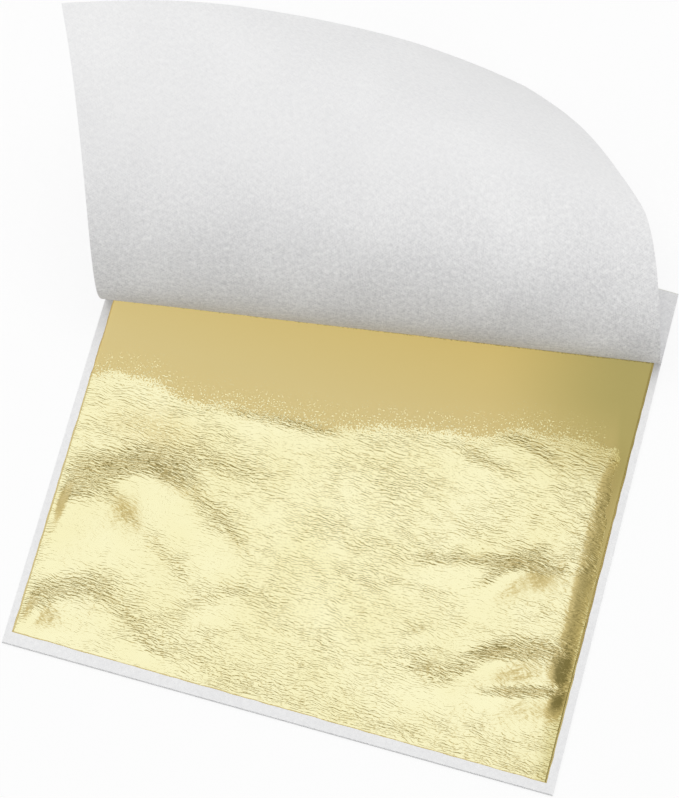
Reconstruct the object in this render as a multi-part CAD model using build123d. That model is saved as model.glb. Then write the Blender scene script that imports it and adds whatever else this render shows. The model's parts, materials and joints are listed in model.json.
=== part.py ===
"""A gold leaf booklet: thin metal leaves between tissue pages that are glued along one edge, top page lifted.

Lengths are in millimetres. X runs along the spine, which is at +Y. The fore edge is at -Y, and Z is up.
The origin is the middle of the flat underside, on the surface that the booklet lies on.
"""

from build123d import *
import math
import os

# Metal leaves, laid by hand a little off square and nearer to the spine than to the fore edge
leaf_count = 25
leaf_side = 140.0
leaf_thickness = 0.01
leaf_shift_to_spine = 0.9
leaf_turn = -0.24
leaf_turn_step = 2.1
leaf_drift = 0.25
leaf_drift_step = 1.3

# Tissue pages, one more than the leaves, with a margin round each leaf
page_margin = 2.0
page_thickness = 0.03

# Film of padding glue along the spine
glue_thickness = 0.2

# Lifted top page. The two ends of each bend line are given by how far they are from the spine, as shares of
# the page side: the left one down the left edge and on along the fore edge, the right one down the right edge.
left_reach_shares = (0.31, 0.40, 0.48, 0.58, 0.71, 1.00, 1.34, 1.99)
right_reach_shares = (0.14, 0.19, 0.25, 0.32, 0.39, 0.48, 0.55, 0.99)
crease_angle = 52.5
band_angles = (26.0, 25.5, 20.0, 23.0, 31.5, 33.0, 25.5)
folds_per_band = 8
crease_gap = 0.05

page_side = leaf_side + 2 * page_margin
half_page = page_side / 2
sheet_pitch = page_thickness + leaf_thickness
stack_height = leaf_count * sheet_pitch + page_thickness
lifted_page_underside = leaf_count * sheet_pitch
band_count = len(band_angles)


def page_underside(number):
    """Height of the underside of a page, where page 1 is the top one."""
    return (leaf_count + 1 - number) * sheet_pitch


def tissue_page(number):
    """One flat page of the block."""
    sheet = Plane.XY.offset(page_underside(number)) * Rectangle(page_side, page_side)
    return extrude(sheet, page_thickness)


def gold_leaf(number):
    """One square leaf, lying on the page of the next number."""
    turn = leaf_turn * math.cos(leaf_turn_step * (number - 1))
    drift = leaf_drift * math.sin(leaf_drift_step * (number - 1))
    seat = page_underside(number + 1) + page_thickness
    sheet = Pos(drift, leaf_shift_to_spine, seat) * Rot(0, 0, turn) * Rectangle(leaf_side, leaf_side)
    return extrude(sheet, leaf_thickness)


def spine_glue():
    """The film that holds the back edges of all the pages."""
    film = Rectangle(page_side, glue_thickness, align=(Align.CENTER, Align.MIN))
    return extrude(Pos(0, half_page, 0) * film, stack_height)


def left_end(reach):
    """Where a bend line leaves the flat sheet, down the left edge and then along the fore edge."""
    down = min(reach, page_side)
    across = reach - down
    return Vector(across - half_page, half_page - down, lifted_page_underside)


def right_end(reach):
    """Where a bend line leaves the flat sheet down the right edge."""
    return Vector(half_page, half_page - reach, lifted_page_underside)


def between(shares, position):
    """Reach of the bend line at a position counted in bands, in millimetres."""
    band = min(int(position), band_count - 1)
    share = shares[band] + (shares[band + 1] - shares[band]) * (position - band)
    return share * page_side


def bend_line(position):
    """The two ends, on the flat sheet, of the bend line at a position counted in bands."""
    return left_end(between(left_reach_shares, position)), right_end(between(right_reach_shares, position))


def lifted(point, position):
    """Carries a point of the flat sheet through the crease and every small fold before a position."""
    folds = [(0, crease_angle)]
    for step in range(round(position * folds_per_band)):
        folds.append(((step + 0.5) / folds_per_band, band_angles[step // folds_per_band] / folds_per_band))
    for place, angle in reversed(folds):
        left, right = bend_line(place)
        point = (point - left).rotate(Axis((0, 0, 0), left - right), angle) + left
    return point


def lifted_end(position, side, height):
    """One end of a bend line on the lifted page, at a height within the page's thickness."""
    return lifted(bend_line(position)[side] + Vector(0, 0, height), position)


def band_arc(number, side, height):
    """The arc that one cut side of a band follows, on the underside or on the top."""
    places = (number - 1, number - 0.5, number)
    return Edge.make_three_point_arc(*[lifted_end(place, side, height) for place in places])


def lifted_band(number):
    """One curved band of the lifted page: six faces, each ruled between two edges."""
    corners = [[(side, height) for height in (0, page_thickness)] for side in (0, 1)]
    arcs = [[band_arc(number, *corner) for corner in pair] for pair in corners]
    ends = [
        [Edge.make_line(*[lifted_end(place, *corner) for corner in pair]) for pair in corners]
        for place in (number - 1, number)
    ]
    underside_and_top = list(zip(*arcs))
    pairs = [*arcs, *underside_and_top, *ends]
    return Solid(Shell([Face.make_surface_from_curves(one, other) for one, other in pairs]))


def bound_strip():
    """The flat part of the top page, from the spine to the crease."""
    left, right = bend_line(0)
    gap = Vector(0, crease_gap, 0)
    back_left = Vector(-half_page, half_page, lifted_page_underside)
    back_right = Vector(half_page, half_page, lifted_page_underside)
    outline = Polyline(left + gap, right + gap, back_right, back_left, close=True)
    return extrude(make_face(outline), page_thickness, dir=(0, 0, 1))


def all_parts():
    """Every sub-part, by its name."""
    parts = {"spine_glue": spine_glue(), "lifted_page_bound_strip": bound_strip()}
    for number in range(1, band_count + 1):
        parts[f"lifted_page_band_{number}"] = lifted_band(number)
    for number in range(1, leaf_count + 1):
        parts[f"gold_leaf_{number:02}"] = gold_leaf(number)
        parts[f"tissue_page_{number + 1:02}"] = tissue_page(number + 1)
    return parts


def main():
    os.makedirs("parts", exist_ok=True)
    for name, shape in all_parts().items():
        export_step(shape, f"parts/{name}.step")


if __name__ == "__main__":
    main()
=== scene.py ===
import json
import math

import bpy
import numpy as np
from mathutils import Matrix, Vector, noise


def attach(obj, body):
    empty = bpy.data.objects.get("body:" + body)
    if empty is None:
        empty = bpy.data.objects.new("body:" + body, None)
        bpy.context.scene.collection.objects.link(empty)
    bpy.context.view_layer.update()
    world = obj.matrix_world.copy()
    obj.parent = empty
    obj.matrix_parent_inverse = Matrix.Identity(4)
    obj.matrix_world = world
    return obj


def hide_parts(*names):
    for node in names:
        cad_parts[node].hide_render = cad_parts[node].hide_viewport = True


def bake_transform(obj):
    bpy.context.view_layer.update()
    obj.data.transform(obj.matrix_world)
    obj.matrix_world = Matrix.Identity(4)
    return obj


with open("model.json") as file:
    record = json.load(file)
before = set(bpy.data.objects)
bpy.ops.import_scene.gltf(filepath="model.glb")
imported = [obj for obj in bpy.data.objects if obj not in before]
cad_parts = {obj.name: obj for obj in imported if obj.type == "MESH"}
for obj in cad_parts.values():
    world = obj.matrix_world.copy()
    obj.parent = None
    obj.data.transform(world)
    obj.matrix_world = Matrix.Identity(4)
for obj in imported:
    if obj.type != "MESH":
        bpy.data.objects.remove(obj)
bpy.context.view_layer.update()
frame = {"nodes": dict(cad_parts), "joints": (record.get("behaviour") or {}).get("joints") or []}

# Lengths are written in millimetres, and turned to metres by MM where Blender takes them.
# X runs along the spine, which is at +Y. The fore edge is at -Y, and Z is up.
MM = 0.001

# Sizes, as in the solids
leaf_count = 25
leaf_side = 140.0
leaf_thickness = 0.01
leaf_shift_to_spine = 0.9
leaf_turn = -0.24
page_margin = 2.0
page_thickness = 0.03
page_side = leaf_side + 2 * page_margin
half_page = page_side / 2
sheet_pitch = page_thickness + leaf_thickness
lifted_page_underside = leaf_count * sheet_pitch

# Bend lines of the lifted page, as in the solids: how far their ends are from the spine, as shares of the side
# of the page, and the angles in degrees of the crease and of the bands between the bend lines
left_reach_shares = (0.31, 0.40, 0.48, 0.58, 0.71, 1.00, 1.34, 1.99)
right_reach_shares = (0.14, 0.19, 0.25, 0.32, 0.39, 0.48, 0.55, 0.99)
crease_angle = 52.5
band_angles = (26.0, 25.5, 20.0, 23.0, 31.5, 33.0, 25.5)
band_count = len(band_angles)

# The crease as a line on the flat page: how much it rises along X, and its Y at the middle of the page
crease_slope = left_reach_shares[0] - right_reach_shares[0]
crease_middle = half_page - page_side * (left_reach_shares[0] + right_reach_shares[0]) / 2

# Steps of the meshes. The rows at the crease are lifted a little, which keeps them clear of the leaf when the
# page is turned down, and the last row of the page is a small share of the way to the far corner.
folds_per_band = 24
columns_across_page = 110
strip_rows = 14
crease_half_width = 0.5
crease_lift = 0.03
first_row_past_crease = 0.1
corner_step = 0.02
leaf_cells = 220


def linear(code):
    """A colour written as an sRGB hex value, as linear red, green, blue and a full alpha."""
    parts = [int(code[i:i + 2], 16) / 255 for i in (1, 3, 5)]
    return [p / 12.92 if p <= 0.04045 else ((p + 0.055) / 1.055) ** 2.4 for p in parts] + [1.0]


def add(tree, kind, inputs=(), **settings):
    """Adds a node with its settings, and links or sets its inputs, given by name or in order."""
    node = tree.nodes.new(kind)
    for name, value in settings.items():
        setattr(node, name, value)
    for name, value in inputs.items() if isinstance(inputs, dict) else enumerate(inputs):
        if isinstance(value, bpy.types.NodeSocket):
            tree.links.new(value, node.inputs[name])
        else:
            node.inputs[name].default_value = value
    return node


def new_object(name, vertices, faces):
    mesh = bpy.data.meshes.new(name)
    mesh.from_pydata([tuple(v) for v in vertices], [], faces)
    obj = bpy.data.objects.new(name, mesh)
    bpy.context.scene.collection.objects.link(obj)
    return obj


# --- camera, fitted to the corners of the block and of the leaf in the photograph

camera_lens = 231.5
camera_place_m = (-0.00679, -0.51522, 1.21676)
camera_right = Vector((0.96331, 0.24578, 0.10782))
camera_up = Vector((-0.26839, 0.88246, 0.3863))


def make_camera():
    """The camera looks down at the booklet from the fore edge, and leans a little."""
    data = bpy.data.cameras.new("camera")
    data.lens = camera_lens
    data.clip_start = 0.05
    data.clip_end = 50
    camera = bpy.data.objects.new("camera", data)
    bpy.context.scene.collection.objects.link(camera)
    place = Matrix((camera_right, camera_up, camera_right.cross(camera_up))).transposed().to_4x4()
    place.translation = camera_place_m
    camera.matrix_world = place
    bpy.context.scene.camera = camera


make_camera()


# --- lifted page, as one flat sheet that is carried through its folds

far_corner = Vector((half_page, -half_page, lifted_page_underside))

# Waviness of the lifted tissue: height, length along the spine and away from it, and level in the noise.
# It starts past the crease and grows to its full height over the rise.
cockle_waves = ((0.42, 34, 26, 3.1), (0.10, 11, 9, 8.4))
cockle_start = 2
cockle_rise = 18


def left_end(reach):
    """Where a bend line leaves the flat sheet, down the left edge and then along the fore edge."""
    down = min(reach, page_side)
    return Vector((reach - down - half_page, half_page - down, lifted_page_underside))


def right_end(reach):
    """Where a bend line leaves the flat sheet down the right edge."""
    return Vector((half_page, half_page - reach, lifted_page_underside))


def between(shares, position):
    """Reach of the bend line at a position counted in bands."""
    band = min(int(position), band_count - 1)
    share = shares[band] + (shares[band + 1] - shares[band]) * (position - band)
    return share * page_side


def bend_line(position):
    """The two ends, on the flat sheet, of the bend line at a position counted in bands."""
    return left_end(between(left_reach_shares, position)), right_end(between(right_reach_shares, position))


def fold(place, angle):
    """The turn of the rest of the page about one bend line of the flat sheet."""
    left, right = bend_line(place)
    turn = Matrix.Rotation(math.radians(angle), 4, left - right)
    return Matrix.Translation(left) @ turn @ Matrix.Translation(-left)


def page_carriers():
    """Where the flat sheet goes after the crease and each of the small folds."""
    carriers = [fold(0, crease_angle)]
    for step in range(band_count * folds_per_band):
        angle = band_angles[step // folds_per_band] / folds_per_band
        carriers.append(carriers[-1] @ fold((step + 0.5) / folds_per_band, angle))
    return carriers


def cockle(x, y):
    """Height of the tissue's slight waviness, none at the crease and where the page is held."""
    left, right = bend_line(0)
    crease_y = left.y + (right.y - left.y) * (x + half_page) / page_side
    free = min(1, max(0, (crease_y - y - cockle_start) / cockle_rise))
    waves = [height * noise.noise(Vector((x / along, y / away, level)))
             for height, along, away, level in cockle_waves]
    return free * sum(waves)


def page_rows():
    """Each row across the page, as its position in bands and the number of its carrier.

    The rows of the bound strip and before the crease have no carrier. The last row ends at the far corner.
    """
    rows = [(-1 + step / strip_rows, None) for step in range(strip_rows)]
    rows += [("before", None), (0, None), ("after", 0)]
    places = {(step + 0.5) / folds_per_band for step in range(band_count * folds_per_band)}
    places |= {half / 2 for half in range(1, 2 * band_count + 1)}
    for place in sorted(place for place in places if place > first_row_past_crease):
        rows.append((place, min(math.floor(place * folds_per_band + 0.5), band_count * folds_per_band)))
    rows.append(("corner", band_count * folds_per_band))
    return rows


def flat_row(place):
    """The two ends of a row on the flat sheet."""
    left, right = bend_line(0)
    if place == "corner":
        left, right = bend_line(band_count)
        return left.lerp(far_corner, corner_step), right.lerp(far_corner, corner_step)
    if place in ("before", "after"):
        shift = Vector((0, crease_half_width if place == "before" else -crease_half_width, 0))
        return left + shift, right + shift
    if place >= 0:
        return bend_line(place)
    back_left = Vector((-half_page, half_page, lifted_page_underside))
    back_right = Vector((half_page, half_page, lifted_page_underside))
    edge = Vector((0, crease_half_width, 0))
    return back_left.lerp(left + edge, 1 + place), back_right.lerp(right + edge, 1 + place)


def along_row(place, left, right, share):
    """A point of a row on the flat sheet. The last row goes round the far corner."""
    if place != "corner":
        return left.lerp(right, share)
    return left.lerp(far_corner, 2 * share) if share < 0.5 else far_corner.lerp(right, 2 * share - 1)


def page_grid():
    """Points, upward normals and flat places of the whole page, row by row."""
    rows = page_rows()
    carriers = page_carriers()
    points = np.zeros((len(rows), columns_across_page + 1, 3))
    ups = np.zeros_like(points)
    flats = np.zeros((len(rows), columns_across_page + 1, 2))
    for r, (place, carrier) in enumerate(rows):
        left, right = flat_row(place)
        move = Matrix.Identity(4) if carrier is None else carriers[carrier]
        up = move.to_3x3() @ Vector((0, 0, 1))
        lift = crease_lift if place in ("before", 0, "after") else 0
        for c in range(columns_across_page + 1):
            flat = along_row(place, left, right, c / columns_across_page)
            points[r, c] = move @ flat + up * (cockle(flat.x, flat.y) + lift)
            flats[r, c] = flat.x, flat.y
            ups[r, c] = up
    normals = np.cross(np.gradient(points, axis=1), np.gradient(points, axis=0))
    # The last row bunches up at the corner, so it takes the normals of the row before
    normals[-1] = normals[-2]
    normals /= np.linalg.norm(normals, axis=2, keepdims=True)
    normals *= np.sign((normals * ups).sum(axis=2, keepdims=True))
    return rows, points, normals, flats


def closed_sheet(name, under, over):
    """A closed sheet from the grids of its underside and top, whose rows run away from the spine.

    Its faces are those of the underside, those of the top and then the flat-shaded ones of the four rims.
    """
    height, width = under.shape[:2]
    count = height * width
    at = np.arange(count).reshape(height, width)
    quads = np.stack([at[:-1, :-1], at[1:, :-1], at[1:, 1:], at[:-1, 1:]], axis=-1).reshape(-1, 4)
    rim = np.concatenate([at[0, :], at[1:, -1], at[-1, -2::-1], at[-2:0:-1, 0]])
    following = np.roll(rim, -1)
    rims = np.stack([rim + count, following + count, following, rim], axis=-1)
    faces = [*quads[:, ::-1].tolist(), *(quads + count).tolist(), *rims.tolist()]
    obj = new_object(name, np.concatenate([under.reshape(-1, 3), over.reshape(-1, 3)]) * MM, faces)
    obj.data.polygons.foreach_set("use_smooth", [True] * 2 * len(quads) + [False] * len(rims))
    return obj


def page_piece(name, points, normals, flats):
    """One piece of the lifted page, shaded as the one smooth sheet that its pieces make together."""
    obj = closed_sheet(name, points, points + normals * page_thickness)
    mesh = obj.data
    count = points.shape[0] * points.shape[1]
    at_corner = np.zeros(len(mesh.loops), dtype=int)
    mesh.loops.foreach_get("vertex_index", at_corner)
    flat = flats.reshape(-1, 2) * MM
    mesh.uv_layers.new(name="flat").data.foreach_set("uv", flat[at_corner % count].ravel())
    smooth = normals.reshape(-1, 3)[at_corner % count]
    smooth[at_corner < count] *= -1
    # The corners past those of the underside's and top's quads are the rims'. No normal there keeps them flat.
    quad_count = 2 * (points.shape[0] - 1) * (points.shape[1] - 1)
    smooth[4 * quad_count:] = 0
    mesh.normals_split_custom_set(smooth.tolist())
    mesh.materials.append(tissue_lifted)
    return obj


# --- materials


def new_material(name):
    """A material, its node tree and its shader."""
    material = bpy.data.materials.new(name)
    material.use_nodes = True
    return material, material.node_tree, material.node_tree.nodes["Principled BSDF"]


def streaks(tree, place, turn, length, width, seed):
    """Noise stretched along one direction, as fibres of one lie or the marks of a brush are."""
    turned = add(tree, "ShaderNodeMapping", {"Vector": place, "Rotation": (0, 0, turn),
                 "Location": (seed, seed, 0)})
    scaled = add(tree, "ShaderNodeMapping", {"Vector": turned.outputs[0],
                 "Scale": (1 / length, 1 / width, 1 / width)})
    return add(tree, "ShaderNodeTexNoise", {"Vector": scaled.outputs[0], "Scale": 1.0,
               "Detail": 1.0}).outputs["Fac"]


# Tissue paper, laid from wet wood pulp and dried on a roller, with no filler or coating. That gives the eye a
# thin matte white sheet, cloudy where its fibres lie thicker, with single fibres showing. Each lie of the
# fibres is a turn in radians, a length, a width and a seed. Real fibres are 0.03 mm wide, too fine to show here,
# so they are drawn ten times as wide.
fibre_lies = ((0.5, 1.6, 0.32, 0.31), (-0.7, 1.8, 0.34, 0.83), (1.6, 1.4, 0.30, 0.17))
fibre_share = 0.55
cloud_size = 1.2
broad_cloud_size = 24
broad_cloud_share = 0.5
mottle_low = 1.2
mottle_high = 1.95
tissue_grain_depth = 0.05
pressed_grain_depth = 0.13

# Grain of the lifted page where it was pressed on the leaf, measured square to the crease: it grows from the
# start to the full mark, in front of the crease, and falls to a share of that on the bound strip behind it
grain_start = -25
grain_full = 38
grain_fall = (40, 46)
bound_strip_grain = 0.2


def tissue_paper(name, is_lifted):
    """The tissue of a page. The lifted one reads its own flat coordinates, and is grainier near its crease."""
    material, tree, shader = new_material(name)
    place = add(tree, "ShaderNodeTexCoord").outputs["UV" if is_lifted else "Object"]
    cloud = add(tree, "ShaderNodeTexNoise", {"Vector": place, "Scale": 1 / (cloud_size * MM), "Detail": 3.0,
                "Roughness": 0.7}).outputs["Fac"]
    broad = add(tree, "ShaderNodeTexNoise", {"Vector": place, "Scale": 1 / (broad_cloud_size * MM),
                "Detail": 2.0}).outputs["Fac"]
    mottle = add(tree, "ShaderNodeMath", (broad, broad_cloud_share, cloud),
                 operation="MULTIPLY_ADD").outputs[0]
    for turn, length, width, seed in fibre_lies:
        fibres = streaks(tree, place, turn, length * MM, width * MM, seed)
        mottle = add(tree, "ShaderNodeMath", (fibres, fibre_share, mottle),
                     operation="MULTIPLY_ADD").outputs[0]
    mottle = add(tree, "ShaderNodeMapRange", {"Value": mottle, "From Min": mottle_low,
                 "From Max": mottle_high}).outputs[0]
    tone = add(tree, "ShaderNodeValToRGB", {"Fac": mottle})
    tone.color_ramp.elements[0].color = linear("#e9e9ea")
    tone.color_ramp.elements[1].color = linear("#f6f6f6")
    colour = tone.outputs["Color"]
    depth = tissue_grain_depth * MM
    if is_lifted:
        flat = add(tree, "ShaderNodeSeparateXYZ", {0: place}).outputs
        across = add(tree, "ShaderNodeMath", (flat["X"], -crease_slope, flat["Y"]),
                     operation="MULTIPLY_ADD").outputs[0]
        before = add(tree, "ShaderNodeMapRange", {"Value": across, "From Min": grain_start * MM,
                     "From Max": grain_full * MM}).outputs[0]
        behind = add(tree, "ShaderNodeMapRange", {"Value": across, "From Min": grain_fall[0] * MM,
                     "From Max": grain_fall[1] * MM, "To Min": 1.0, "To Max": bound_strip_grain}).outputs[0]
        pressed = add(tree, "ShaderNodeMath", (before, behind), operation="MULTIPLY").outputs[0]
        grainy = add(tree, "ShaderNodeValToRGB", {"Fac": mottle})
        grainy.color_ramp.elements[0].position = 0.1
        grainy.color_ramp.elements[1].position = 0.9
        grainy.color_ramp.elements[0].color = linear("#cacacc")
        grainy.color_ramp.elements[1].color = linear("#ffffff")
        colour = add(tree, "ShaderNodeMix", {"Factor": pressed, "A": colour, "B": grainy.outputs["Color"]},
                     data_type="RGBA").outputs[2]
        depth = add(tree, "ShaderNodeMapRange", {"Value": pressed, "To Min": tissue_grain_depth * MM,
                    "To Max": pressed_grain_depth * MM}).outputs[0]
    tree.links.new(colour, shader.inputs["Base Color"])
    shader.inputs["Roughness"].default_value = 0.88
    shader.inputs["Specular IOR Level"].default_value = 0.25
    bump = add(tree, "ShaderNodeBump", {"Height": mottle, "Strength": 0.8, "Distance": depth})
    tree.links.new(bump.outputs[0], shader.inputs["Normal"])
    return material


# Imitation gold leaf, which is brass, rolled and then beaten thinner than a thousandth of a millimetre. That
# gives the eye a pale yellow mirror, finely crackled where it lies loose and satin where a page pressed it.
# The crackle is ripples that lie along the spine, about a millimetre apart.
ripple_length = 2.1
ripple_width = 0.50
ripple_drift_length = 6.5
ripple_drift = 2.6
ripple_share = 0.8
crackle_depth = 0.21

# Wear of the top leaf: the size of its flecks, how far they shift the border of the pressed part and the painted
# crease shadow, what pressing adds to the roughness, and the height of the crackle that stays where it is
fleck_size = 0.45
border_fleck_shift = 8.0
painted_crease_shadow_fleck_shift = 0.8
pressed_roughness = 0.36
crackle_rest_height = 0.44

# Places in front of the border, with the flecks' shift in them, over which the crackle and the gloss grow
crackle_span = (4.3, 6.8)
gloss_span = (3.2, 4.4)

# Flecks that shine behind the border: the noise from which one shows, what nearness to the border adds to the
# noise and over which places, the places over which they die away, and the crackle in one and in the pressed part
spark_level = (0.74, 0.78)
spark_gain = 0.14
spark_gain_span = (-9.0, 0.0)
spark_span = (-11.0, -2.0)
spark_crackle = 0.3
pressed_crackle = 0.04

# Deeper yellow of the pressed part, by Y, and the painted shadow line along the crease: how far from its
# middle it starts and is whole
deep_yellow_span = (18, 52)
painted_crease_shadow_outside = 0.5
painted_crease_shadow_inside = 0.1
painted_crease_shadow_strength = 0.8


def crackle(tree, place):
    """Height of the fine crackle in beaten leaf: short wavy ripples, each with a sharper crease beside it."""
    drift = add(tree, "ShaderNodeTexNoise", {"Vector": place, "Scale": 1 / (ripple_drift_length * MM),
                "Detail": 1.0})
    push = add(tree, "ShaderNodeVectorMath", {0: drift.outputs["Color"], 1: (0, ripple_drift * MM, 0)},
               operation="MULTIPLY")
    moved = add(tree, "ShaderNodeVectorMath", {0: place, 1: push.outputs[0]}, operation="ADD")
    stretched = add(tree, "ShaderNodeMapping", {"Vector": moved.outputs[0],
                    "Scale": (1 / (ripple_length * MM), 1 / (ripple_width * MM), 1 / MM)})
    ripples = add(tree, "ShaderNodeTexNoise", {"Vector": stretched.outputs[0], "Scale": 1.0, "Detail": 1.6,
                  "Roughness": 0.55}).outputs["Fac"]
    creases = add(tree, "ShaderNodeMapRange", {"Value": ripples, "From Min": 0.45, "From Max": 0.55,
                  "To Max": 0.07}, interpolation_type="SMOOTHSTEP").outputs[0]
    return add(tree, "ShaderNodeMath", (ripples, ripple_share, creases),
               operation="MULTIPLY_ADD").outputs[0]


def wear_and_painted_shade(tree, place, height, polish, colour):
    """Changes the crackle, roughness and colour of the top leaf where its mesh's attributes say so.

    They are: how far past the border of the pressed part a place lies, how strong the crackle is there, how
    satin the loose leaf is, and how much painted shade darkens it. It also paints a shadow line along the crease.
    """
    past, strength, satin, painted_shade = (add(tree, "ShaderNodeAttribute", attribute_name=name).outputs["Fac"]
                                      for name in ("past", "strength", "satin", "painted_shade"))
    fleck = add(tree, "ShaderNodeTexNoise", {"Vector": place, "Scale": 1 / (fleck_size * MM),
                "Detail": 0.0}).outputs["Fac"]
    # Flecks break up the border of the pressed part
    wander = add(tree, "ShaderNodeMath", (fleck, border_fleck_shift, past),
                 operation="MULTIPLY_ADD").outputs[0]
    crinkled = add(tree, "ShaderNodeMapRange", {"Value": wander, "From Min": crackle_span[0],
                   "From Max": crackle_span[1]}).outputs[0]
    glossy = add(tree, "ShaderNodeMapRange", {"Value": wander, "From Min": gloss_span[0],
                 "From Max": gloss_span[1]}).outputs[0]
    # Behind it single flecks shine, fewer and fewer, where the page lifted the leaf
    near = add(tree, "ShaderNodeMapRange", {"Value": past, "From Min": spark_gain_span[0],
               "From Max": spark_gain_span[1], "To Max": spark_gain}).outputs[0]
    sparks = add(tree, "ShaderNodeMath", (fleck, near), operation="ADD").outputs[0]
    sparks = add(tree, "ShaderNodeMapRange", {"Value": sparks, "From Min": spark_level[0],
                 "From Max": spark_level[1]}).outputs[0]
    reach = add(tree, "ShaderNodeMapRange", {"Value": past, "From Min": spark_span[0],
                "From Max": spark_span[1]}).outputs[0]
    sparks = add(tree, "ShaderNodeMath", (sparks, reach), operation="MULTIPLY").outputs[0]
    # The crackle is strong on the loose leaf, weak in the flecks and all but gone in the pressed part
    amount = add(tree, "ShaderNodeMath", (crinkled, strength), operation="MULTIPLY").outputs[0]
    lowest = add(tree, "ShaderNodeMath", (sparks, spark_crackle, pressed_crackle),
                 operation="MULTIPLY_ADD").outputs[0]
    amount = add(tree, "ShaderNodeMath", (amount, lowest), operation="MAXIMUM").outputs[0]
    height = add(tree, "ShaderNodeMath", (height, crackle_rest_height), operation="SUBTRACT").outputs[0]
    height = add(tree, "ShaderNodeMath", (height, amount), operation="MULTIPLY").outputs[0]
    dulled = add(tree, "ShaderNodeMath", (glossy, satin), operation="MULTIPLY").outputs[0]
    shiny = add(tree, "ShaderNodeMath", (glossy, dulled), operation="SUBTRACT").outputs[0]
    shiny = add(tree, "ShaderNodeMath", (shiny, sparks), operation="MAXIMUM").outputs[0]
    pressed = add(tree, "ShaderNodeMath", (1.0, shiny), operation="SUBTRACT").outputs[0]
    polish = add(tree, "ShaderNodeMath", (pressed, pressed_roughness, polish),
                 operation="MULTIPLY_ADD").outputs[0]
    # The pressed part is deeper yellow, most so along the crease, and painted shade darkens the leaf towards its
    # right end and edge
    flat = add(tree, "ShaderNodeSeparateXYZ", {0: place}).outputs
    deeper = add(tree, "ShaderNodeMapRange", {"Value": flat["Y"], "From Min": deep_yellow_span[0] * MM,
                 "From Max": deep_yellow_span[1] * MM}).outputs[0]
    deep = add(tree, "ShaderNodeMix", {"Factor": deeper, "A": linear("#f8df9e"), "B": linear("#f6d785")},
               data_type="RGBA").outputs[2]
    colour = add(tree, "ShaderNodeMix", {"Factor": pressed, "A": colour, "B": deep},
                 data_type="RGBA").outputs[2]
    # Painted shade, in a darker olive
    colour = add(tree, "ShaderNodeMix", {"Factor": painted_shade, "A": colour, "B": linear("#d3c17c")},
                 data_type="RGBA").outputs[2]
    # A thin painted shadow line runs along the crease of the page above, broken by the flecks
    off = add(tree, "ShaderNodeMath", (flat["X"], -crease_slope, flat["Y"]),
              operation="MULTIPLY_ADD").outputs[0]
    off = add(tree, "ShaderNodeMath", (fleck, painted_crease_shadow_fleck_shift * MM, off),
              operation="MULTIPLY_ADD").outputs[0]
    off = add(tree, "ShaderNodeMath", (off, crease_middle * MM), operation="SUBTRACT").outputs[0]
    off = add(tree, "ShaderNodeMath", (off,), operation="ABSOLUTE").outputs[0]
    painted_crease_shadow = add(tree, "ShaderNodeMapRange", {"Value": off, "From Min": painted_crease_shadow_outside * MM,
                 "From Max": painted_crease_shadow_inside * MM, "To Max": painted_crease_shadow_strength}).outputs[0]
    colour = add(tree, "ShaderNodeMix", {"Factor": painted_crease_shadow, "A": colour, "B": linear("#8d7b4c")},
                 data_type="RGBA").outputs[2]
    return height, polish, colour


def metal_leaf(name, is_top):
    """The metal of a leaf. The top one is worn and carries painted shade and a painted crease shadow, and the
    ones below show only their edges.
    """
    material, tree, shader = new_material(name)
    place = add(tree, "ShaderNodeTexCoord").outputs["Object"]
    height = crackle(tree, place)
    grain = add(tree, "ShaderNodeTexNoise", {"Vector": place, "Scale": 1 / (0.6 * MM),
                "Detail": 2.0}).outputs["Fac"]
    polish = add(tree, "ShaderNodeMapRange", {"Value": grain, "To Min": 0.07, "To Max": 0.12}).outputs[0]
    broad = add(tree, "ShaderNodeTexNoise", {"Vector": place, "Scale": 1 / (22 * MM),
                "Detail": 3.0}).outputs["Fac"]
    tone = add(tree, "ShaderNodeValToRGB", {"Fac": broad})
    tone.color_ramp.elements[0].position = 0.35
    tone.color_ramp.elements[1].position = 0.65
    tone.color_ramp.elements[0].color = linear("#f2e2ac")
    tone.color_ramp.elements[1].color = linear("#f5e6b4")
    colour = tone.outputs["Color"]
    if is_top:
        height, polish, colour = wear_and_painted_shade(tree, place, height, polish, colour)
    tree.links.new(colour, shader.inputs["Base Color"])
    shader.inputs["Metallic"].default_value = 1.0
    tree.links.new(polish, shader.inputs["Roughness"])
    bump = add(tree, "ShaderNodeBump", {"Height": height, "Strength": 1.0, "Distance": crackle_depth * MM})
    tree.links.new(bump.outputs[0], shader.inputs["Normal"])
    return material


# Padding glue, a white glue brushed on the edges of the pages and dried. That gives the eye a thin satin film
# with faint brush lines.
brush_line_length = 14
brush_line_width = 0.3


def padding_glue():
    material, tree, shader = new_material("padding_glue_dried")
    place = add(tree, "ShaderNodeTexCoord").outputs["Object"]
    lines = streaks(tree, place, 0.0, brush_line_length * MM, brush_line_width * MM, 0.5)
    tone = add(tree, "ShaderNodeValToRGB", {"Fac": lines})
    tone.color_ramp.elements[0].color = linear("#dcdcd4")
    tone.color_ramp.elements[1].color = linear("#f0f0ea")
    tree.links.new(tone.outputs["Color"], shader.inputs["Base Color"])
    shader.inputs["Roughness"].default_value = 0.45
    bump = add(tree, "ShaderNodeBump", {"Height": lines, "Strength": 0.5, "Distance": 0.04 * MM})
    tree.links.new(bump.outputs[0], shader.inputs["Normal"])
    return material


tissue_lifted = tissue_paper("tissue_paper_lifted_page", True)
tissue_flat = tissue_paper("tissue_paper_flat_pages", False)
leaf_top = metal_leaf("imitation_gold_leaf_top", True)
leaf_below = metal_leaf("imitation_gold_leaf_below", False)
glue_film = padding_glue()


# --- lifted page, in pieces cut at the middle of each band, so that each hinge lies inside a piece

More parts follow.
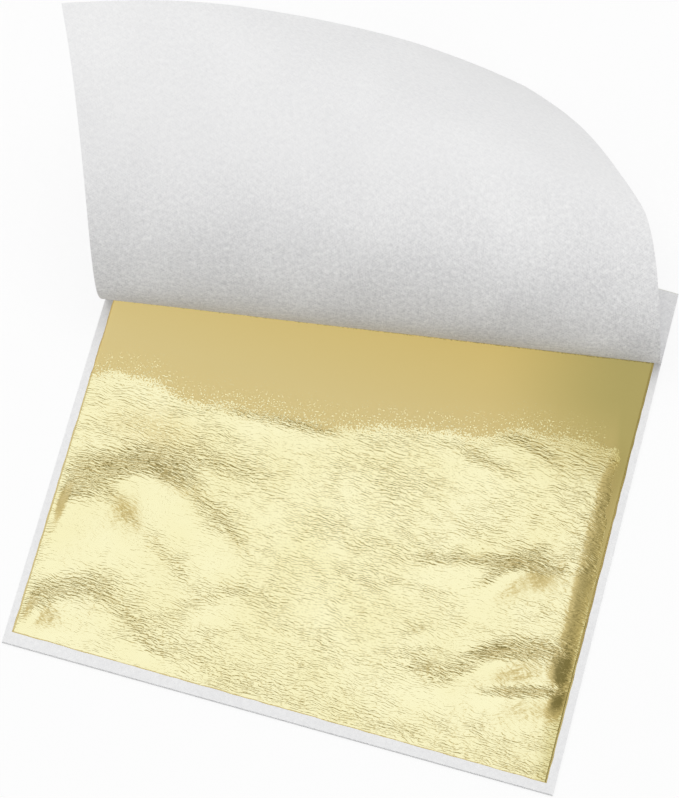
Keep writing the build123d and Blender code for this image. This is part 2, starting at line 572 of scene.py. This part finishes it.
# Each piece of the page and the solid that it stands for, from the spine outwards
page_pieces = (
    ("lifted_page_crease", "lifted_page_bound_strip"),
    *[(f"lifted_page_curl_{number}", f"lifted_page_band_{number}") for number in range(1, band_count)],
    ("lifted_page_fore_edge", f"lifted_page_band_{band_count}"),
)


def row_index(rows, place):
    return next(i for i, (p, _) in enumerate(rows) if p == place)


def crease_ends(before, after, axis, middle):
    """Start and end of the crease's bend, square to its hinge and a crease's half width to each side."""
    ahead = after.mean(axis=0) - before.mean(axis=0)
    ahead -= axis * (ahead @ axis)
    ahead *= crease_half_width * MM / np.linalg.norm(ahead)
    return middle - ahead, middle + ahead


def blend_ends(before, after, axis):
    """Start and end of a bend between two rows: as far apart as keeps each whole row on its own body."""
    way = after.mean(axis=0) - before.mean(axis=0)
    way -= axis * (way @ axis)
    way /= np.linalg.norm(way)
    origin = before.mean(axis=0)
    start = max((p - origin) @ way for p in before)
    end = min((p - origin) @ way for p in after)
    return origin + way * start, origin + way * end


def lifted_page():
    """The page above the first leaf, cut where each band is stiff, so that every hinge is inside a piece."""
    rows, points, normals, flats = page_grid()
    joints = {j["name"]: j for j in frame["joints"]}
    cuts = [0] + [row_index(rows, band + 0.5) for band in range(band_count)] + [len(rows) - 1]
    for number, (name, solid) in enumerate(page_pieces):
        low, high = cuts[number], cuts[number + 1]
        span = slice(low, high + 1)
        piece = page_piece(name, points[span], normals[span], flats[span])
        if number == 0:
            joint = joints["page_crease"]
            before, after = (points[row_index(rows, place)] for place in ("before", "after"))
            start, end = crease_ends(before, after, np.array(joint["axis"]), np.array(joint["pos_m"]))
            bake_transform(piece)
        elif number < band_count:
            joint = joints[f"page_bend_{number}"]
            start, end = blend_ends(points[low] * MM, points[high] * MM, np.array(joint["axis"]))
            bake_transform(piece)
        else:
            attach(piece, f"page_band_{band_count}")
        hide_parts(solid)
        # Its dark underside would show in the leaf as a band that the real one doesn't have
        piece.visible_glossy = False


lifted_page()


# --- top leaf

# Swells of the leaf: the two ends of the crest, its height and its width behind and in front. The fade is how
# far a swell runs on past its ends.
swells = (
    ((-72, -43), (-66.5, -31.5), 0.70, 5.6, 11.0),
    ((-66.5, -31.5), (-58, -25.2), 0.64, 5.4, 11.0),
    ((-58, -25.2), (-50, -19.8), 0.38, 4.4, 9.0),
    ((-50, -19.8), (-44, -19.2), 0.32, 4.4, 5.0),
    ((-46, -18.7), (-26, -29.5), 0.36, 5.4, 7.0),
    ((-64, -22.5), (-55, -18), 0.30, 3.5, 3.0),
    ((-46, -13.5), (-22, -12), 0.22, 5.0, 6.0),
    ((-54, -31), (-37, -42), 0.22, 4.0, 8.0),
    ((-71.5, -71), (-69.5, -62.5), 0.66, 4.8, 7.0),
    ((-69.5, -62.5), (-58.5, -56), 0.64, 4.8, 8.0),
    ((-49, -55.5), (-33, -67.5), 0.17, 3.4, 6.0),
    ((-28, -51), (-19, -44.5), 0.14, 3.2, 4.0),
    ((-32, 8.5), (-11, 9), 0.40, 1.6, 5.0),
    ((44.5, -21.5), (49, -16.3), 0.50, 2.8, 5.0),
    ((49, -16.3), (52.5, -15.8), 0.46, 2.6, 5.0),
    ((44, -47), (50.5, -41.3), 0.50, 3.4, 6.0),
    ((50.5, -41.3), (62, -38), 0.50, 3.2, 6.0),
    ((54.5, -50.6), (67, -47.0), 0.72, 2.6, 4.5),
    ((29, -20.8), (38, -18.2), 0.18, 2.6, 4.0),
    ((32.5, -51.5), (41.5, -54.5), 0.24, 4.0, 6.0),
    ((29, 10), (38, 8.3), 0.15, 3.0, 5.0),
    ((39.5, 18.5), (47, 15.5), 0.15, 3.0, 5.0),
)
swell_fade = 7

# Noise that varies the leaf: its size, length along X and along Y, and level
small_swells = (0.12, 17, 13, 5.5)
border_waver = (1.6, 7, 5, 0.2)
strip_waver = (1.6, 3, 5, 9.1)
crackle_patches = ((0.3, 14, 7, 4.4), (0.3, 4, 2.2, 7.9))

# Border of the part that the page above pressed flat, across the leaf. The leaf comes free of its page over the
# first span in front of that border, and over the second inwards from its edges.
pressed_border = (
    (-72, 3.5), (-65.4, 7), (-55.1, 8.4), (-50.8, 7.7), (-46, 4.8), (-33.1, 6.4), (-14.9, 8.4),
    (-8.1, 8.1), (5.6, 12.3), (23.3, 16.5), (31.1, 17.4), (40.7, 22.3), (51.2, 23.4), (61.7, 24.3), (72, 24),
)
free_span = (-1, 5)
free_edge_span = (0, 5.0)

# Strip along the right edge that was pressed too: its border by X, how that leans about a middle, where the
# strip ends near the fore edge, and how far behind the border it counts as
strip_border = (66.2, 68.2)
strip_lean = 0.03
strip_lean_middle = 20
strip_fore_end = (-44, -40)
strip_depth = 3

# Margin along the right edge in which nothing shines in the pressed part
dull_margin = 8
dull_margin_fade = 2
dull_margin_depth = 9

# How far the cut edges wander from straight, over what length, and how near an edge a place is on it
ragged_depth = 0.16
ragged_length = 3.0
on_edge = 0.01

# Roll of the right edge: its height, its rise and fall inwards from the edge, where it ends under the page
# above, and the tuck where it ends near the fore edge
roll_height = 0.52
roll_rise = (0.2, 6.6)
roll_fall = (7, 36)
roll_page_end = 28
roll_page_fade = 16
roll_tuck = (-44.5, -42)

# Strength of the crackle: its middle, its gain near the fore edge and over which places, its gain on slopes that
# fall to the spine and its loss on those that rise to it, and the slopes at which these are whole
crackle_middle = 0.41
crackle_fore_gain = 0.16
crackle_fore_span = (35, 65)
falling_gain = 1.6
falling_slope = 0.08
rising_loss = 0.3
rising_slope = 0.05
weakest_crackle = 0.04
strongest_crackle = 2.6

# Satin patch on the loose leaf: its middle, half its length and width, and its strength
satin_middle = (-50, -5)
satin_size = (11, 5)
satin_strength = 0.5

# Painted shade, a darker olive: over which places it grows towards the right edge and towards the spine, and its
# line at that edge
painted_shade_span = (44, 4)
painted_shade_spine_span = (4, 40)
edge_painted_shade_span = (6, 0.5)
edge_painted_shade_strength = 0.6


def crest(x, y, start, end, height, back, front):
    """Height that one swell gives: steep towards the spine and gentle towards the fore edge."""
    start, end = np.array(start), np.array(end)
    run = end - start
    length = np.linalg.norm(run)
    way = run / length
    off = np.stack([x - start[0], y - start[1]], axis=-1)
    along = off @ way
    aside = off @ np.array([-way[1], way[0]])
    over = np.maximum(0, np.maximum(-along, along - length))
    width = np.where(aside > 0, back, front)
    return height * np.exp(-(aside / width) ** 2 - (over / swell_fade) ** 2)


def smooth_step(value, low, high):
    t = np.clip((value - low) / (high - low), 0, 1)
    return t * t * (3 - 2 * t)


def waver(x, y, size, length_x, length_y, level):
    """Noise of one size and length over a grid of places."""
    spots = zip((x / length_x).ravel(), (y / length_y).ravel())
    return size * np.array([noise.noise(Vector((a, b, level))) for a, b in spots]).reshape(x.shape)


def leaf_grid():
    """Places of the leaf from its own middle, with ragged edges."""
    side = np.linspace(-leaf_side / 2, leaf_side / 2, leaf_cells + 1)
    u, v = np.meshgrid(side, side)
    ragged = np.array([noise.noise(Vector((s / ragged_length, 0.5, 0.5))) for s in side]) * ragged_depth
    inside = leaf_side / 2 - on_edge
    u = u + np.where(np.abs(u) > inside, ragged[:, None], 0)
    v = v + np.where(np.abs(v) > inside, ragged[None, ::-1], 0)
    return u, v


def border_y(x):
    return np.interp(x, *zip(*pressed_border))


def past_border(x, y, off_right):
    """How far a place lies in front of the pressed part, or behind it where negative.

    A strip along the right edge was pressed too, and nothing shines in the pressed part near that edge.
    """
    wandering = x + strip_lean * (y - strip_lean_middle) + waver(x, y, *strip_waver)
    strip = smooth_step(wandering, *strip_border) * smooth_step(y, *strip_fore_end)
    past = (border_y(x) - y) * (1 - strip) - strip_depth * strip + waver(x, y, *border_waver)
    return past - dull_margin_depth * (past < 0) * smooth_step(dull_margin - off_right, 0, dull_margin_fade)


def rolled_edge(y, off_right):
    """Height of the roll along the right edge, which ends under the page and at a tuck near the fore edge."""
    roll = roll_height * smooth_step(off_right, *roll_rise) * (1 - smooth_step(off_right, *roll_fall))
    return roll * smooth_step(roll_page_end - y, 0, roll_page_fade) * smooth_step(y, *roll_tuck)


def crackle_strength(x, y, swell):
    """How strong the crackle is, in patches, and more so on slopes that fall to the spine."""
    strength = sum((waver(x, y, *patch) for patch in crackle_patches), crackle_middle)
    strength = strength + crackle_fore_gain * smooth_step(-y, *crackle_fore_span)
    climb = np.gradient(swell, axis=0) / (leaf_side / leaf_cells)
    falling = np.clip(-climb / falling_slope, 0, 1)
    rising = np.clip(climb / rising_slope, 0, 1)
    flank = 1 + falling_gain * falling - rising_loss * rising
    return np.clip(strength * flank, weakest_crackle, strongest_crackle)


def top_leaf():
    """The first leaf as a thin closed sheet with swells and a rolled edge, and its wear and painted shade as
    attributes.
    """
    u, v = leaf_grid()
    turn = math.radians(leaf_turn)
    x = u * math.cos(turn) - v * math.sin(turn)
    y = u * math.sin(turn) + v * math.cos(turn) + leaf_shift_to_spine
    off_edge = leaf_side / 2 - np.maximum(np.abs(u), np.abs(v))
    off_right = leaf_side / 2 - u
    free = smooth_step(border_y(x) - y, *free_span) * smooth_step(off_edge, *free_edge_span)
    relief = sum(crest(x, y, *swell) for swell in swells) + waver(x, y, *small_swells)
    seat = lifted_page_underside - leaf_thickness
    z = seat + np.maximum(relief, 0) * free + rolled_edge(y, off_right)
    under = np.stack([x, y, z], axis=-1)[::-1]
    obj = closed_sheet("top_leaf", under, under + (0, 0, leaf_thickness))
    aside, away = ((place - middle) / size for place, middle, size in zip((x, y), satin_middle, satin_size))
    satin = satin_strength * np.exp(-aside ** 2 - away ** 2)
    # Painted shade: the leaf is darkened towards its right end and along its right edge
    painted_shade = smooth_step(off_right, *painted_shade_span) * smooth_step(y, *painted_shade_spine_span)
    painted_shade = painted_shade + edge_painted_shade_strength * smooth_step(off_right, *edge_painted_shade_span)
    attributes = {"past": past_border(x, y, off_right), "strength": crackle_strength(x, y, relief * free),
                  "satin": satin, "painted_shade": painted_shade, "free": free}
    for name, values in attributes.items():
        attribute = obj.data.attributes.new(name, "FLOAT", "POINT")
        attribute.data.foreach_set("value", np.tile(values[::-1].ravel(), 2).astype(np.float32))
    return obj


def crinkle_tree():
    """Geometry nodes that raise broad shallow crinkles on a sheet, by as much as its free attribute says."""
    tree = bpy.data.node_groups.new("crinkle_sheet", "GeometryNodeTree")
    face = tree.interface
    face.new_socket("Geometry", in_out="INPUT", socket_type="NodeSocketGeometry")
    for name in ("Crinkle length", "Crinkle width", "Crinkle height", "Turn", "Seed"):
        face.new_socket(name, in_out="INPUT", socket_type="NodeSocketFloat")
    face.new_socket("Material", in_out="INPUT", socket_type="NodeSocketMaterial")
    face.new_socket("Geometry", in_out="OUTPUT", socket_type="NodeSocketGeometry")
    given = add(tree, "NodeGroupInput").outputs
    place = add(tree, "GeometryNodeInputPosition")
    size = add(tree, "ShaderNodeCombineXYZ", {"X": given["Crinkle length"], "Y": given["Crinkle width"],
               "Z": given["Crinkle width"]})
    turned = add(tree, "ShaderNodeVectorRotate", {"Vector": place.outputs[0], "Angle": given["Turn"]})
    scaled = add(tree, "ShaderNodeVectorMath", {0: turned.outputs[0], 1: size.outputs[0]}, operation="DIVIDE")
    ridges = add(tree, "ShaderNodeTexNoise", {"Vector": scaled.outputs[0], "W": given["Seed"], "Scale": 1.0,
                 "Detail": 2.0}, noise_dimensions="4D")
    # Only the noise above this level raises the sheet, so that it is never pushed below its seat
    level = 0.35
    above = add(tree, "ShaderNodeMath", (ridges.outputs["Fac"], level), operation="SUBTRACT")
    raised = add(tree, "ShaderNodeMath", (above.outputs[0], 0.0), operation="MAXIMUM")
    tall = add(tree, "ShaderNodeMath", (raised.outputs[0], given["Crinkle height"]), operation="MULTIPLY")
    free = add(tree, "GeometryNodeInputNamedAttribute", {"Name": "free"}, data_type="FLOAT")
    shared = add(tree, "ShaderNodeMath", (tall.outputs[0], free.outputs[0]), operation="MULTIPLY")
    offset = add(tree, "ShaderNodeCombineXYZ", {"Z": shared.outputs[0]})
    moved = add(tree, "GeometryNodeSetPosition", {"Geometry": given["Geometry"], "Offset": offset.outputs[0]})
    real = add(tree, "GeometryNodeRealizeInstances", {"Geometry": moved.outputs[0]})
    dressed = add(tree, "GeometryNodeSetMaterial", {"Geometry": real.outputs[0],
                  "Material": given["Material"]})
    add(tree, "NodeGroupOutput", {"Geometry": dressed.outputs[0]})
    return tree


def bake(obj, tree, values):
    """Runs a geometry node tree on an object with its named inputs, and keeps the result as a plain mesh."""
    modifier = obj.modifiers.new("nodes", "NODES")
    modifier.node_group = tree
    for item in tree.interface.items_tree:
        if item.in_out == "INPUT" and item.name in values:
            modifier[item.identifier] = values[item.name]
    bpy.context.view_layer.update()
    shown = obj.evaluated_get(bpy.context.evaluated_depsgraph_get())
    mesh = bpy.data.meshes.new_from_object(shown)
    obj.modifiers.clear()
    obj.data = mesh


leaf = top_leaf()
bake(leaf, crinkle_tree(), {"Crinkle length": 9 * MM, "Crinkle width": 5 * MM, "Crinkle height": 0.10 * MM,
                            "Turn": 0.55, "Seed": 4.0, "Material": leaf_top})
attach(leaf, "leaf_01")
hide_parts("gold_leaf_01")


# --- pages, leaves and glue that keep their solids

for name, node in frame["nodes"].items():
    if name.startswith("lifted_page") or name == "gold_leaf_01":
        continue
    node.data.materials.clear()
    if name.startswith("tissue_page"):
        node.data.materials.append(tissue_flat)
    elif name.startswith("gold_leaf"):
        node.data.materials.append(leaf_below)
    else:
        node.data.materials.append(glue_film)


# --- floor, light and surroundings, in metres

floor_half_side = 6.0
floor_height = -0.0002
floor_white_share = 0.85

lamp_place = (-0.35, 0.25, 1.7)
lamp_size = (1.6, 1.2)
lamp_power = 14.0

# The softbox that gloss sees, as slopes away from straight up: where each side starts to fade, where it would
# be dark, and how far it fades. Its tones follow the fade. The far tone is that of the room low down, by Z.
softbox_sides = (
    ("Y", 1, 0.52, 0.80, 1.0),
    ("X", 1, 0.10, 0.45, 1.0),
    ("X", -1, 0.70, 1.60, 0.4),
    ("Y", -1, 0.55, 1.60, 0.4),
)
softbox_strength = 1.3
softbox_tones = ((0.0, (1.06, 1.17, 1.30)), (0.22, (0.74, 0.70, 0.54)), (1.0, (0.24, 0.23, 0.14)))
far_tone = (0.72, 0.69, 0.58, 1)
far_tone_span = (0.66, 0.56)
lowest_height = 0.05

# What pages and floor get by way of a leaf, which is bluer so that the yellow leaf tints them little, and the
# even light all round
bounced_tone = (0.62, 0.68, 0.92, 1)
even_light_strength = 0.58
white = (1, 1, 1, 1)


def white_floor():
    """Matte white card, which has no gloss and shows as nearly pure white with the booklet's shadow on it."""
    corners = [(-floor_half_side, -floor_half_side), (floor_half_side, -floor_half_side),
               (floor_half_side, floor_half_side), (-floor_half_side, floor_half_side)]
    obj = new_object("floor", [(x, y, floor_height) for x, y in corners], [(0, 1, 2, 3)])
    material, tree, shader = new_material("white_floor")
    shader.inputs["Base Color"].default_value = linear("#f6f6f6")
    shader.inputs["Roughness"].default_value = 0.9
    shader.inputs["Specular IOR Level"].default_value = 0.0
    glow = add(tree, "ShaderNodeEmission", {"Color": white, "Strength": 1.0})
    seen = add(tree, "ShaderNodeLightPath").outputs["Is Camera Ray"]
    share = add(tree, "ShaderNodeMath", (seen, floor_white_share), operation="MULTIPLY")
    mixed = add(tree, "ShaderNodeMixShader", {0: share.outputs[0], 1: shader.outputs[0], 2: glow.outputs[0]})
    tree.links.new(mixed.outputs[0], tree.nodes["Material Output"].inputs["Surface"])
    obj.data.materials.append(material)


def soft_light():
    """One large soft lamp overhead, which gloss doesn't see."""
    data = bpy.data.lights.new("overhead_softbox", "AREA")
    data.shape = "RECTANGLE"
    data.size, data.size_y = lamp_size
    data.energy = lamp_power
    lamp = bpy.data.objects.new("overhead_softbox", data)
    bpy.context.scene.collection.objects.link(lamp)
    lamp.location = lamp_place
    lamp.rotation_euler = Vector(lamp_place).to_track_quat("Z", "Y").to_euler()
    lamp.visible_glossy = False


def surroundings():
    """Even white light all round. Gloss sees a bright softbox overhead that fades to its sides, and a room."""
    world = bpy.data.worlds.new("studio")
    bpy.context.scene.world = world
    world.use_nodes = True
    tree = world.node_tree
    tree.nodes.clear()
    way = add(tree, "ShaderNodeTexCoord").outputs["Generated"]
    parts = add(tree, "ShaderNodeSeparateXYZ", {0: way}).outputs
    height = add(tree, "ShaderNodeMath", (parts["Z"], lowest_height), operation="MAXIMUM").outputs[0]
    fade = 0.0
    for axis, sign, start, dark, limit in softbox_sides:
        slope = add(tree, "ShaderNodeMath", (parts[axis], height), operation="DIVIDE").outputs[0]
        slope = add(tree, "ShaderNodeMath", (slope, sign / (dark - start), -start / (dark - start)),
                    operation="MULTIPLY_ADD").outputs[0]
        slope = add(tree, "ShaderNodeMath", (slope, limit), operation="MINIMUM").outputs[0]
        fade = add(tree, "ShaderNodeMath", (fade, slope), operation="MAXIMUM").outputs[0]
    room = add(tree, "ShaderNodeValToRGB", {"Fac": fade}).outputs["Color"]
    ramp = room.node.color_ramp
    ramp.elements.new(0.5)
    for element, (position, tone) in zip(ramp.elements, softbox_tones):
        element.position = position
        element.color = [*(part / softbox_strength for part in tone), 1]
    low = add(tree, "ShaderNodeMapRange", {"Value": parts["Z"], "From Min": far_tone_span[0],
              "From Max": far_tone_span[1]}).outputs[0]
    room = add(tree, "ShaderNodeMix", {"Factor": low, "A": room,
               "B": [part / softbox_strength for part in far_tone]}, data_type="RGBA").outputs[2]
    light = add(tree, "ShaderNodeLightPath").outputs
    gloss = add(tree, "ShaderNodeBackground", {"Color": room, "Strength": softbox_strength})
    bounced = add(tree, "ShaderNodeBackground", {"Color": bounced_tone, "Strength": 1.0})
    even = add(tree, "ShaderNodeBackground", {"Color": white, "Strength": even_light_strength})
    backdrop = add(tree, "ShaderNodeBackground", {"Color": white, "Strength": 1.0})
    after = add(tree, "ShaderNodeMath", (light["Diffuse Depth"], 1.0), operation="MINIMUM").outputs[0]
    gloss = add(tree, "ShaderNodeMixShader", {0: after, 1: gloss.outputs[0], 2: bounced.outputs[0]})
    shade = add(tree, "ShaderNodeMixShader", {0: light["Is Glossy Ray"], 1: even.outputs[0],
                2: gloss.outputs[0]})
    shade = add(tree, "ShaderNodeMixShader", {0: light["Is Camera Ray"], 1: shade.outputs[0],
                2: backdrop.outputs[0]})
    add(tree, "ShaderNodeOutputWorld", {"Surface": shade.outputs[0]})


white_floor()
soft_light()
surroundings()
bpy.context.scene.view_settings.view_transform = "Standard"
